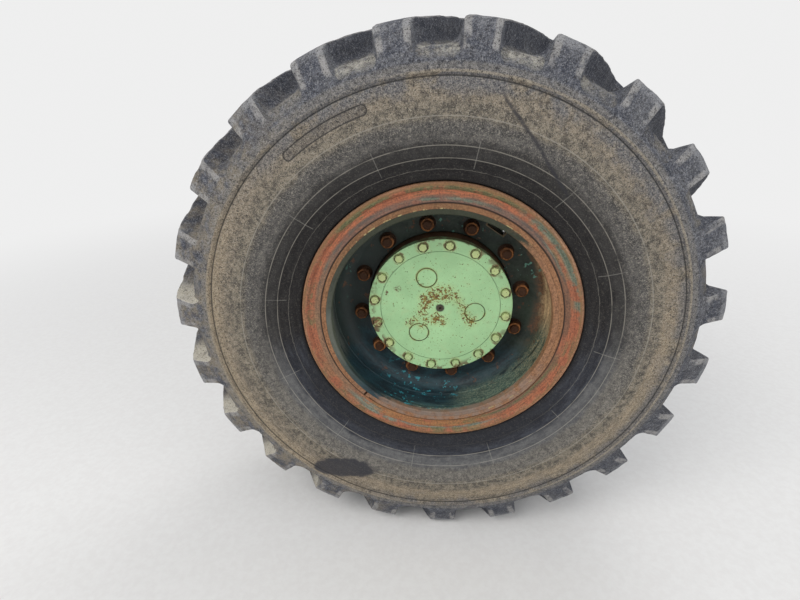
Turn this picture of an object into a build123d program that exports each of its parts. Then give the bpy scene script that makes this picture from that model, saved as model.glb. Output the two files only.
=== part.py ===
from build123d import *
import os

# A loader wheel with its planetary hub and the axle arm that carries it. Millimetres, +Z up.
# The axle line is Y: the wheel's outer face looks to -Y and the arm's bolting face is at y = 0.
# Places along the axle are given as "out", the distance from the tyre's middle plane to -Y.
# Angles run round the axle from +X towards +Z, as seen from outside the wheel.

# Tyre, outside
tyre_offset = 450.0          # arm's bolting face to the tyre's middle plane
tyre_radius = 660.0
tyre_half_width = 250.0
crown_drop = 11.0            # from the tread's middle down to the corner of a lug's tip
shoulder_inset = 33.0        # that corner, in from the tyre's widest place
tip_edge = 9.0
lug_side = 93.0              # from the tip's corner down to the moulded ridge
ridge_inset = 4.0
ridge_rise = 3.0             # the ridge stands proud of the sidewall
ridge_width = 9.0
widest_drop = 76.0           # from the ridge down to where the sidewall is widest

# Tyre, lugs and inside
lug_count = 23
first_lug_angle = 5.6
groove_depth = 44.0          # at the tread's middle
groove_fall = 16.0           # its floor at the shoulder, below its floor at the tread's middle
groove_width = 96.0          # round the tyre, at its floor
groove_corner = 24.0         # the channel's corners are cut off this far
groove_draft = 4.0           # degrees on each side
groove_lean = 32.0           # degrees from the axle line, seen from above the tread
groove_foot_rise = 14.0      # from the ridge up to the groove's floor
centre_rib_half = 10.0
tread_thickness = 22.0
sidewall_thickness = 26.0
liner_crown_half = 60.0
bead_height = 22.0
bead_width = 26.0

# Rim: a base with one fixed flange, a loose side ring and a split lock ring
rim_width = 381.0            # between the flanges
bead_seat_radius = 304.8
bead_seat_width = 40.0
seat_wall = 11.8
base_wall = 14.0
flange_height = 33.2
flange_thickness = 18.0
lip_height = 13.0            # the base's outer end, in from its barrel
gutter_depth = 17.0
lock_ring_width = 19.0
lock_ring_gap = 6.0
lock_ring_gap_angle = 228.0
lock_ring_clearance = 1.0
pry_notch_length = 24.0
pry_notch_depth = 5.0

# Wheel disc, welded into the base
disc_out = 68.0              # its outer face
disc_thickness = 20.0
disc_dish = 38.0             # its outer face curves up to the barrel with this radius
disc_land = 3.0              # thickness left where the curve meets the barrel
weld_size = 9.0
window_angle = 55.0
window_inset = 32.0          # from the barrel to the window's middle
window_width = 52.0
window_height = 30.0

# Studs and nuts
stud_count = 12
first_stud_angle = 99.5
stud_radius = 11.0
stud_hole_clearance = 1.5
stud_head_radius = 16.0
stud_head = 7.0
stud_end = 8.0               # stud showing beyond its nut
nut_flats = 32.0
nut_height = 20.0
nut_crown_edge = 2.4
nut_collar_radius = 21.0
nut_collar_height = 5.0
nut_collar_edge = 3.0
thread_clearance = 0.25

# Hub
valve_room = 41.0            # from the barrel in to the hub's flange
stud_edge_distance = 25.5    # from the hub flange's edge in to the stud circle
drum_gap = 7.5               # from a nut's collar in to the drum
hub_bore_clearance = 2.0     # drum in the disc's centre hole
hub_flange_thickness = 24.0
hub_neck_step = 16.0
hub_neck_out = -50.0         # its inner end
cover_out = 122.5
cover_thickness = 22.5
cover_bolt_count = 16
first_cover_bolt_angle = 105.5
cover_bolt_inset = 15.0
cover_bolt_radius = 6.0
cover_bolt_flats = 17.0
cover_bolt_head = 9.0
cover_bolt_length = 32.0
spot_face_radius = 12.5
spot_face_depth = 4.0
register_inset = 16.0        # from the cover bolts in to the register line
register_width = 1.6
register_depth = 1.5
plug_count = 3
first_plug_angle = 113.0
plug_inset = 63.0            # from the register line in to the plugs' circle
plug_radius = 25.0
plug_gap = 1.0
plug_depth = 6.0
level_plug_radius = 8.0
level_plug_socket = 6.0

# Spindle, brake housing and axle arm, which stand still
spindle_radius = 110.0
running_clearance = 0.3
spindle_nose_out = 24.0
hub_to_housing = 8.0
housing_overhang = 27.0      # beyond the arm's foot
housing_length = 118.0
port_radius = 15.0
port_height = 14.0
port_hole_radius = 6.0
first_port_angle = 70.0
port_spacing = 40.0          # degrees
arm_foot_thickness = 20.0
arm_neck_radius = 92.0
arm_neck_blend = 40.0
arm_flange_thickness = 26.0
arm_bore_radius = 46.0
arm_bolt_count = 12
arm_bolt_circle_radius = 168.0
arm_bolt_edge_distance = 20.0
arm_bolt_radius = 8.0
arm_bolt_flats = 24.0
arm_bolt_head = 10.0
arm_bolt_length = 45.0
mount_hole_count = 16
mount_hole_circle_radius = 170.0
mount_hole_edge_distance = 25.0
mount_hole_radius = 9.0
rib_count = 4
first_rib_angle = 45.0
rib_thickness = 14.0
rib_inset = 30.0             # from the arm's bolts in to the rib's end
rib_waist = 22.0             # rib's height above the neck at its middle

# Half shaft and its oil seal in the arm
shaft_radius = 27.0
shaft_end = 48.0             # beyond the arm's bolting face
spline_count = 20
spline_depth = 2.5
spline_width = 3.8
spline_length = 70.0
seal_width = 14.0
seal_inset = 8.0

# Valve
valve_radius = 4.5
valve_foot_radius = 11.0
valve_foot_height = 5.0
valve_hole_clearance = 0.25
valve_weld_gap = 2.0
valve_reach = 24.0           # from the base's inside towards the axle
valve_length = 70.0          # after its bend, towards the outside
valve_bend = 13.5
valve_cap_radius = 6.5
valve_cap_length = 14.0

# Edges broken by a chamfer or rounding, and how far a cutter runs past what it cuts
tiny_edge = 1.5
small_edge = 3.0
edge = 6.0
run_past = 6.0

middle = -tyre_offset
arm_face = -tyre_offset

shoulder_radius = tyre_radius - crown_drop
shoulder_out = tyre_half_width - shoulder_inset
ridge_radius = shoulder_radius - lug_side
ridge_out = tyre_half_width - ridge_inset
widest_radius = ridge_radius - widest_drop

rim_half = rim_width / 2
flange_out = rim_half + flange_thickness
flange_radius = bead_seat_radius + flange_height
base_radius = bead_seat_radius - seat_wall
barrel_radius = base_radius - base_wall
lip_radius = barrel_radius - lip_height
lip_out = flange_out - small_edge
gutter_radius = base_radius - gutter_depth
gutter_out = lip_out - lock_ring_width

disc_back = disc_out - disc_thickness
hub_flange_radius = barrel_radius - valve_room
stud_circle_radius = hub_flange_radius - stud_edge_distance
nut_top = disc_out + nut_height
drum_radius = stud_circle_radius - nut_collar_radius - drum_gap
hub_neck_radius = drum_radius - hub_neck_step
hub_flange_back = disc_back - hub_flange_thickness
cover_back = cover_out - cover_thickness
cover_bolt_circle_radius = drum_radius - cover_bolt_inset
register_radius = cover_bolt_circle_radius - register_inset
plug_circle_radius = register_radius - plug_inset

housing_out = hub_neck_out - hub_to_housing
housing_back = housing_out - housing_length
arm_foot_back = housing_back - arm_foot_thickness
arm_foot_radius = arm_bolt_circle_radius + arm_bolt_edge_distance
housing_radius = arm_foot_radius + housing_overhang
arm_flange_front = arm_face + arm_flange_thickness
arm_flange_radius = mount_hole_circle_radius + mount_hole_edge_distance


def place(out):
    """The y of a plane that lies this far out from the tyre's middle."""
    return middle - out


def point(radius, out):
    return (radius, place(out))


def turned(*rows):
    """A solid turned about the axle. Each row is radius, out, corner radius."""
    points = [point(radius, out) for radius, out, corner in rows]
    corners = [corner for radius, out, corner in rows]
    outline = FilletPolyline(*points, radius=corners, close=True)
    return revolve(make_face(outline), axis=Axis.Y)


def around(piece, angle):
    """A piece drawn on +X, turned round the axle line."""
    return Rot(0, -angle, 0) * piece


def ring_of(piece, count, first):
    return [around(piece, first + 360 / count * k) for k in range(count)]


def bar(radius, start_out, end_out, distance=0.0):
    """A round bar along the axle, from one place out to a lower one, on +X."""
    length = start_out - end_out
    plane = Plane(origin=(distance, place(start_out), 0), x_dir=(1, 0, 0), z_dir=(0, 1, 0))
    return plane * Cylinder(radius, length, align=(Align.CENTER, Align.CENTER, Align.MIN))


def spoke(radius, out, start, end):
    """A round bar that points away from the axle, along +X."""
    plane = Plane(origin=(start, place(out), 0), z_dir=(1, 0, 0))
    return plane * Cylinder(radius, end - start, align=(Align.CENTER, Align.CENTER, Align.MIN))


def hexagon_bar(flats, start_out, end_out, distance=0.0):
    plane = Plane(origin=(distance, place(start_out), 0), x_dir=(1, 0, 0), z_dir=(0, 1, 0))
    section = plane * RegularPolygon(flats / 2, 6, major_radius=False)
    return extrude(section, start_out - end_out)


def outer_end(piece):
    """The edges of the face that looks outwards from the wheel."""
    return piece.faces().sort_by(Axis.Y)[0].edges()


def save(name, *solids):
    shape = solids[0] if len(solids) == 1 else Compound(children=list(solids))
    export_step(shape, os.path.join("parts", name + ".step"))


# Tyre

def side_outline(sign):
    """One side of the tyre's section, from the bead's toe over the ridge to a lug's tip."""
    seat = point(bead_seat_radius, sign * (rim_half - bead_seat_width))
    heel = point(bead_seat_radius, sign * rim_half)
    flange_foot = point(flange_radius + tiny_edge, sign * rim_half)
    flange_top = point(flange_radius + edge, sign * lip_out)
    widest = point(widest_radius, sign * tyre_half_width)
    ridge_foot = point(ridge_radius - ridge_width, sign * ridge_out)
    ridge_top = point(ridge_radius, sign * (ridge_out + ridge_rise))
    lug_foot = point(ridge_radius + ridge_rise, sign * ridge_out)
    tip_low = point(shoulder_radius - tip_edge, sign * (shoulder_out + ridge_rise))
    tip = point(shoulder_radius, sign * (shoulder_out - tip_edge))
    return (Polyline(seat, heel, flange_foot, flange_top)
            + TangentArc(widest, flange_top, tangent=(-1, 0))
            + TangentArc(widest, ridge_foot, tangent=(1, 0))
            + Polyline(ridge_foot, ridge_top, lug_foot, tip_low, tip))


def liner_points(sign):
    """The inside of the tyre on one side, from the tread in to the bead's toe."""
    inner = sign * (tyre_half_width - sidewall_thickness)
    return [
        point(tyre_radius - groove_depth - tread_thickness, sign * liner_crown_half),
        point(ridge_radius - ridge_inset, inner * ridge_out / tyre_half_width),
        point(widest_radius, inner),
        point(bead_seat_radius + bead_height, sign * (rim_half - bead_width)),
        point(bead_seat_radius, sign * (rim_half - bead_seat_width)),
    ]


def groove_cutter():
    """One groove with its shoulder end at the top of the wheel. It leans over the tread and then falls
    straight down the shoulder to the ridge."""
    bend_radius = tyre_radius - groove_depth - groove_fall
    run = shoulder_out - centre_rib_half
    half_turn = run * tan_lean / 2
    level = (bend_radius ** 2 - half_turn ** 2) ** 0.5
    bend = Vector(-half_turn, 0, level)
    foot = groove_width / 2
    top = groove_depth + groove_fall + run_past
    mouth = foot + top * tan_draft
    corner = foot - groove_corner
    shelf = foot + groove_corner * tan_draft
    channel = Polyline((-mouth, top), (-shelf, groove_corner), (-corner, 0), (corner, 0),
                       (shelf, groove_corner), (mouth, top), close=True)
    plane = Plane(origin=(-half_turn, place(shoulder_out), level), x_dir=(1, 0, 0), z_dir=(0, -1, 0))
    section = make_face(plane * channel)
    over_tread = Vector(2 * half_turn, run, groove_fall)
    shoulder_fall = bend_radius - ridge_radius - groove_foot_rise
    down_shoulder = Vector(0, shoulder_out - ridge_out, 0) - bend.normalized() * shoulder_fall
    cutter = (extrude(section, over_tread.length, dir=over_tread.normalized())
              + extrude(section, down_shoulder.length + sidewall_thickness, dir=down_shoulder.normalized()))
    return around(cutter, -bend.get_angle(Vector(0, 0, 1)))


def tyre():
    crown = ThreePointArc(point(shoulder_radius, shoulder_out - tip_edge), point(tyre_radius, 0),
                          point(shoulder_radius, tip_edge - shoulder_out))
    liner = Polyline(*reversed(liner_points(1)), *liner_points(-1))
    section = make_face(side_outline(1) + crown + side_outline(-1) + liner)
    cutter = groove_cutter()
    other = cutter.mirror(Plane((0, middle, 0), x_dir=(1, 0, 0), z_dir=(0, 1, 0)))
    pitch = 360 / lug_count
    first = first_lug_angle - 90 + pitch / 2
    grooves = ring_of(cutter, lug_count, first) + ring_of(other, lug_count, first + pitch / 2)
    return revolve(section, axis=Axis.Y) - grooves


lean_vector = Vector(1, 0, 0).rotate(Axis.Z, groove_lean)
tan_lean = lean_vector.Y / lean_vector.X
draft_vector = Vector(1, 0, 0).rotate(Axis.Z, groove_draft)
tan_draft = draft_vector.Y / draft_vector.X


# Rim

def flange_rows(sign):
    """A rim flange with its bead seat, from the seat round the lip to the foot of its outer face."""
    return [
        (bead_seat_radius, sign * (rim_half - bead_seat_width), 0),
        (bead_seat_radius, sign * rim_half, 0),
        (flange_radius - small_edge, sign * rim_half, 0),
        (flange_radius, sign * (rim_half + small_edge), 0),
        (flange_radius, sign * flange_out, edge),
        (flange_radius - 2 * edge, sign * flange_out, edge),
        (flange_radius - 3 * edge, sign * (flange_out - edge), 0),
        (base_radius, sign * (flange_out - edge), 0),
    ]


def rim_base():
    rows = [
        (lip_radius, lip_out, small_edge),
        (gutter_radius + small_edge, lip_out, 0),
        (gutter_radius + small_edge, lip_out - small_edge, 0),
        (gutter_radius, lip_out - small_edge, 0),
        (gutter_radius, gutter_out, 0),
        (base_radius, gutter_out, 0),
        (base_radius, -(rim_half - bead_seat_width), 0),
    ]
    rows += flange_rows(-1)[:-1]
    rows += [
        (barrel_radius + small_edge, -(flange_out - edge), edge),
        (barrel_radius, -(rim_half - bead_seat_width), 0),
        (barrel_radius, gutter_out - 4 * edge, 0),
        (lip_radius, gutter_out, 0),
    ]
    drill = spoke(valve_radius + valve_hole_clearance, valve_out, 0, base_radius + run_past)
    return turned(*rows) - around(drill, window_angle)


def side_ring():
    rows = flange_rows(1) + [(base_radius, rim_half - bead_seat_width, 0)]
    return turned(*rows)


def lock_ring():
    outer = base_radius - lock_ring_clearance
    ring = turned(
        (gutter_radius, gutter_out, 0),
        (outer, gutter_out, 0),
        (outer, lip_out, small_edge),
        (gutter_radius + small_edge, lip_out, 0),
        (gutter_radius + small_edge, lip_out - small_edge, 0),
        (gutter_radius, lip_out - small_edge, 0),
    )
    slot = Pos(base_radius, place(lip_out), 0) * Box(4 * gutter_depth, 4 * lock_ring_width, lock_ring_gap)
    notch = Pos(base_radius, place(lip_out), lock_ring_gap / 2 + pry_notch_length) * Box(
        2 * pry_notch_depth, 2 * pry_notch_depth, pry_notch_length)
    return ring - around(slot, lock_ring_gap_angle) - around(notch, lock_ring_gap_angle)


def wheel_disc():
    bore = drum_radius + hub_bore_clearance
    dish_end = disc_out + disc_dish + small_edge
    disc = turned(
        (bore, disc_out, small_edge),
        (barrel_radius - disc_land, disc_out, disc_dish),
        (barrel_radius - disc_land, dish_end, tiny_edge),
        (barrel_radius, dish_end, 0),
        (barrel_radius, disc_back - weld_size, 0),
        (barrel_radius - weld_size, disc_back, 0),
        (bore, disc_back, 0),
    )
    hole = bar(stud_radius + stud_hole_clearance, disc_out + run_past, disc_back - run_past, stud_circle_radius)
    window_start = dish_end + run_past
    plane = Plane(origin=(barrel_radius - window_inset, place(window_start), 0), x_dir=(1, 0, 0), z_dir=(0, 1, 0))
    window = extrude(plane * RectangleRounded(window_height, window_width, edge), window_start - disc_back + run_past)
    return disc - ring_of(hole, stud_count, first_stud_angle) - around(window, window_angle)


# Wheel studs and nuts

def wheel_stud():
    head = bar(stud_head_radius, hub_flange_back, hub_flange_back - stud_head, stud_circle_radius)
    shank = bar(stud_radius, nut_top + stud_end, hub_flange_back, stud_circle_radius)
    return head + chamfer(outer_end(shank), tiny_edge)


def wheel_nut():
    body = hexagon_bar(nut_flats, nut_top, disc_out, stud_circle_radius)
    corner = max(vertex.X for vertex in body.vertices()) - stud_circle_radius
    corner = max(corner, max(vertex.Z for vertex in body.vertices()))
    crown = chamfer(outer_end(bar(corner, nut_top, disc_out, stud_circle_radius)), nut_crown_edge)
    collar = bar(nut_collar_radius, disc_out + nut_collar_height, disc_out, stud_circle_radius)
    collar = chamfer(outer_end(collar), nut_collar_edge)
    thread = bar(stud_radius + thread_clearance, nut_top + run_past, disc_out - run_past, stud_circle_radius)
    return (body & crown) + collar - thread


# Hub

def hub_drum():
    bore = spindle_radius + running_clearance
    nose = spindle_nose_out + edge
    drum = turned(
        (0, cover_back, 0),
        (drum_radius, cover_back, 0),
        (drum_radius, disc_back, 0),
        (hub_flange_radius, disc_back, small_edge),
        (hub_flange_radius, hub_flange_back, small_edge),
        (hub_neck_radius + edge, hub_flange_back, edge),
        (hub_neck_radius, hub_neck_out, small_edge),
        (bore, hub_neck_out, 0),
        (bore, nose, 0),
        (0, nose, 0),
    )
    stud = bar(stud_radius, disc_back + run_past, hub_flange_back - run_past, stud_circle_radius)
    tap = bar(cover_bolt_radius + thread_clearance, cover_back + run_past,
              cover_out - cover_bolt_length - run_past, cover_bolt_circle_radius)
    return (drum - ring_of(stud, stud_count, first_stud_angle)
            - ring_of(tap, cover_bolt_count, first_cover_bolt_angle))


def hub_cover():
    register_inner = register_radius - register_width / 2
    register_outer = register_radius + register_width / 2
    plate = turned(
        (0, cover_out, 0),
        (register_inner, cover_out, 0),
        (register_inner, cover_out - register_depth, 0),
        (register_outer, cover_out - register_depth, 0),
        (register_outer, cover_out, 0),
        (drum_radius, cover_out, tiny_edge),
        (drum_radius, cover_back, 0),
        (0, cover_back, 0),
    )
    start = cover_out + run_past
    hole = bar(cover_bolt_radius + thread_clearance, start, cover_back - run_past, cover_bolt_circle_radius)
    spot = bar(spot_face_radius, start, cover_out - spot_face_depth, cover_bolt_circle_radius)
    seat = bar(plug_radius + plug_gap, start, cover_out - plug_depth, plug_circle_radius)
    centre = bar(level_plug_radius + thread_clearance, start, cover_out - plug_depth)
    return (plate - ring_of(hole, cover_bolt_count, first_cover_bolt_angle)
            - ring_of(spot, cover_bolt_count, first_cover_bolt_angle)
            - ring_of(seat, plug_count, first_plug_angle) - centre)


def cover_bolt():
    seat = cover_out - spot_face_depth
    head = hexagon_bar(cover_bolt_flats, seat + cover_bolt_head, seat, cover_bolt_circle_radius)
    shank = bar(cover_bolt_radius, seat, cover_out - cover_bolt_length, cover_bolt_circle_radius)
    return head + shank


def planet_plug():
    plug = bar(plug_radius, cover_out, cover_out - plug_depth, plug_circle_radius)
    return chamfer(outer_end(plug), plug_gap)


def level_plug():
    plug = bar(level_plug_radius, cover_out + tiny_edge, cover_out - plug_depth)
    plug = chamfer(outer_end(plug), tiny_edge / 2)
    socket = hexagon_bar(level_plug_socket, cover_out + run_past, cover_out - plug_depth / 2)
    return plug - socket


# Valve: it leaves the base behind the disc, bends and passes out through the disc's window

valve_out = disc_back - weld_size - valve_foot_radius - valve_weld_gap


def valve():
    bend_radius = barrel_radius - valve_reach
    tip_out = valve_out + valve_length
    centre_line = FilletPolyline(point(base_radius, valve_out), point(bend_radius, valve_out),
                                 point(bend_radius, tip_out), radius=valve_bend)
    start = Plane(origin=centre_line @ 0, z_dir=centre_line % 0)
    stem = sweep(start * Circle(valve_radius), path=centre_line)
    foot = spoke(valve_foot_radius, valve_out, barrel_radius - valve_foot_height, barrel_radius)
    foot = foot & bar(barrel_radius, valve_out + 2 * valve_foot_radius, valve_out - 2 * valve_foot_radius)
    cap = bar(valve_cap_radius, tip_out + valve_cap_length, tip_out, bend_radius)
    cap = chamfer(outer_end(cap), tiny_edge)
    return around(stem + foot, window_angle), around(cap, window_angle)


# What stands still

def spindle():
    return turned(
        (arm_bore_radius, spindle_nose_out, 0),
        (spindle_radius, spindle_nose_out, small_edge),
        (spindle_radius, housing_out, 0),
        (arm_bore_radius, housing_out, 0),
    )


def arm_bolt_hole():
    return bar(arm_bolt_radius + thread_clearance, housing_back + arm_bolt_length, arm_foot_back - run_past,
               arm_bolt_circle_radius)


def brake_housing():
    """A turned housing with two bosses on top, for the brake pipe and the bleed screw."""
    body = turned(
        (arm_bore_radius, housing_out, 0),
        (housing_radius - 4 * edge, housing_out, 2 * edge),
        (housing_radius, housing_out - 4 * edge, edge),
        (housing_radius, housing_back + 3 * edge, 2 * edge),
        (arm_foot_radius, housing_back, 0),
        (arm_bore_radius, housing_back, 0),
    )
    port_out = (housing_out + housing_back) / 2
    port_end = housing_radius + port_height
    boss = spoke(port_radius, port_out, housing_radius - housing_overhang, port_end)
    hole = spoke(port_hole_radius, port_out, housing_radius, port_end + run_past)
    port = boss - hole
    body += [around(port, first_port_angle), around(port, first_port_angle + port_spacing)]
    return body - ring_of(arm_bolt_hole(), arm_bolt_count, 0)


def arm_rib():
    """A web along the arm's neck, hollowed towards its middle, drawn on +X."""
    reach = arm_bolt_circle_radius - rib_inset
    inner = arm_neck_radius - edge
    waist = point(arm_neck_radius + rib_waist, (arm_foot_back + arm_flange_front) / 2)
    front = point(reach, arm_foot_back)
    back = point(reach, arm_flange_front)
    web = ThreePointArc(front, waist, back) + Polyline(
        back, point(inner, arm_flange_front), point(inner, arm_foot_back), front)
    return extrude(make_face(web), rib_thickness / 2, both=True)


def axle_arm():
    arm = turned(
        (arm_bore_radius, housing_back, 0),
        (arm_foot_radius, housing_back, 0),
        (arm_foot_radius, arm_foot_back, small_edge),
        (arm_neck_radius, arm_foot_back, arm_neck_blend),
        (arm_neck_radius, arm_flange_front, arm_neck_blend / 2),
        (arm_flange_radius, arm_flange_front, small_edge),
        (arm_flange_radius, arm_face, 0),
        (arm_bore_radius, arm_face, 0),
    )
    arm += ring_of(arm_rib(), rib_count, first_rib_angle)
    mount_hole = bar(mount_hole_radius, arm_flange_front + run_past, arm_face - run_past,
                     mount_hole_circle_radius)
    return (arm - ring_of(arm_bolt_hole(), arm_bolt_count, 0)
            - ring_of(mount_hole, mount_hole_count, 180 / mount_hole_count))


def arm_bolt():
    head = hexagon_bar(arm_bolt_flats, arm_foot_back, arm_foot_back - arm_bolt_head, arm_bolt_circle_radius)
    shank = bar(arm_bolt_radius, arm_foot_back + arm_bolt_length, arm_foot_back, arm_bolt_circle_radius)
    return head + shank


def oil_seal():
    lip = shaft_radius + running_clearance
    return turned(
        (lip, arm_face + seal_inset + seal_width, 0),
        (arm_bore_radius, arm_face + seal_inset + seal_width, 0),
        (arm_bore_radius, arm_face + seal_inset, 0),
        (lip, arm_face + seal_inset, 0),
    )


def half_shaft():
    start = spindle_nose_out - edge
    end = arm_face - shaft_end
    shaft = bar(shaft_radius, start, end)
    shaft = chamfer(shaft.faces().sort_by(Axis.Y)[-1].edges(), small_edge)
    notch = Pos(shaft_radius, place(end + spline_length / 2), 0) * Box(2 * spline_depth, spline_length, spline_width)
    return shaft - ring_of(notch, spline_count, 0)


os.makedirs("parts", exist_ok=True)

save("tyre", tyre())
save("rim_base", rim_base())
save("side_ring", side_ring())
save("lock_ring", lock_ring())
save("wheel_disc", wheel_disc())
save("wheel_studs", *ring_of(wheel_stud(), stud_count, first_stud_angle))
save("wheel_nuts", *ring_of(wheel_nut(), stud_count, first_stud_angle))
save("hub_drum", hub_drum())
save("hub_cover", hub_cover())
save("cover_bolts", *ring_of(cover_bolt(), cover_bolt_count, first_cover_bolt_angle))
save("planet_plugs", *ring_of(planet_plug(), plug_count, first_plug_angle))
save("level_plug", level_plug())
valve_stem, valve_cap = valve()
save("valve_stem", valve_stem)
save("valve_cap", valve_cap)
save("spindle", spindle())
save("brake_housing", brake_housing())
save("axle_arm", axle_arm())
save("arm_bolts", *ring_of(arm_bolt(), arm_bolt_count, 0))
save("oil_seal", oil_seal())
save("half_shaft", half_shaft())
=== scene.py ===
import math
import random

import bpy
import numpy as np
from mathutils import Euler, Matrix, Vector


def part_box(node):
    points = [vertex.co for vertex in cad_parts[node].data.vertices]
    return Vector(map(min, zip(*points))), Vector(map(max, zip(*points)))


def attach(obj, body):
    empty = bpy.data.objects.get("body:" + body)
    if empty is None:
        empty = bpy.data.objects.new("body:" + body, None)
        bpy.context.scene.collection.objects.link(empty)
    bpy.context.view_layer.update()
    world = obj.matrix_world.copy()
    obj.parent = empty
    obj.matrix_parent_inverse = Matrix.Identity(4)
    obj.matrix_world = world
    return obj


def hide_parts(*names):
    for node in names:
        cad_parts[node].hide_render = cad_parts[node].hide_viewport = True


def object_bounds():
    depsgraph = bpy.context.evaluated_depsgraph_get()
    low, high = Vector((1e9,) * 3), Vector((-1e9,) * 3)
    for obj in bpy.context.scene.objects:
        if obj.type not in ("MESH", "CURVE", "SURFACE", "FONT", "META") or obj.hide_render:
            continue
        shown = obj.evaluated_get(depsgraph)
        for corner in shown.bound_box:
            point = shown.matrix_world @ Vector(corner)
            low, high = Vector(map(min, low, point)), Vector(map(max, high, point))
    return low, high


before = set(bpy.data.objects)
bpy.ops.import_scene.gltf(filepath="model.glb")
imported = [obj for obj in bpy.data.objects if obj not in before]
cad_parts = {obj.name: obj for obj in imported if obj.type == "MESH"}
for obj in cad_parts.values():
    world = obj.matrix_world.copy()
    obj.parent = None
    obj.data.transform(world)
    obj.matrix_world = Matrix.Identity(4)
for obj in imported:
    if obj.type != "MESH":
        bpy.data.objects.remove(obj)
cad_low, cad_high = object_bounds()

# Sizes read from the frame, in metres. "Out" is the distance from the tyre's middle plane to -Y.
tyre_low, tyre_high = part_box("tyre")
middle_y = (tyre_low.y + tyre_high.y) / 2
tyre_radius = tyre_high.z
tyre_half = (tyre_high.y - tyre_low.y) / 2
ring_low, ring_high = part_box("side_ring")
flange_radius = ring_high.z
flange_out = middle_y - ring_low.y
floor_z = cad_low.z

MM = 0.001
TURN = 2 * math.pi

# Like places on a circle round the axle: their number, the first one's angle in degrees, the circle's radius
NUTS = (12, 99.5, 0.2125)
COVER_BOLTS = (16, 105.5, 0.169)
PLANET_PLUGS = (3, 113.0, 0.09)
# The disc's window: angle in degrees, radius, half height and half width
WINDOW = (55.0, 0.247, 0.015, 0.026)


# Material helpers

class Nodes:
    """Short calls that build a node tree. Each returns an output socket, but add returns the node."""

    def __init__(self, tree):
        self.tree = tree

    def feed(self, socket, value):
        """Links a socket to another one, or sets the number or colour on it."""
        if isinstance(value, bpy.types.NodeSocket):
            self.tree.links.new(value, socket)
        elif isinstance(value, tuple):
            socket.default_value = (*value, 1.0)
        else:
            socket.default_value = value

    def add(self, kind, inputs=None, **settings):
        node = self.tree.nodes.new(kind)
        for key, value in settings.items():
            setattr(node, key, value)
        for key, value in (inputs or {}).items():
            self.feed(node.inputs[key], value)
        return node

    def math(self, operation, first, second=0.0, third=0.0, clamp=False):
        inputs = {0: first, 1: second, 2: third}
        return self.add("ShaderNodeMath", inputs, operation=operation, use_clamp=clamp).outputs[0]

    def plus(self, first, second):
        return self.math("ADD", first, second)

    def minus(self, first, second):
        return self.math("SUBTRACT", first, second)

    def times(self, first, second):
        return self.math("MULTIPLY", first, second)

    def length(self, first, second):
        """How long the way is that goes this far in two directions at a right angle."""
        return self.math("SQRT", self.plus(self.times(first, first), self.times(second, second)))

    def both(self, *masks):
        result = masks[0]
        for mask in masks[1:]:
            result = self.times(result, mask)
        return result

    def either(self, *masks):
        result = masks[0]
        for mask in masks[1:]:
            result = self.math("MAXIMUM", result, mask)
        return result

    def inverse(self, mask):
        return self.minus(1.0, mask)

    def strength(self, mask, factor):
        return self.math("MULTIPLY", mask, factor, clamp=True)


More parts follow.
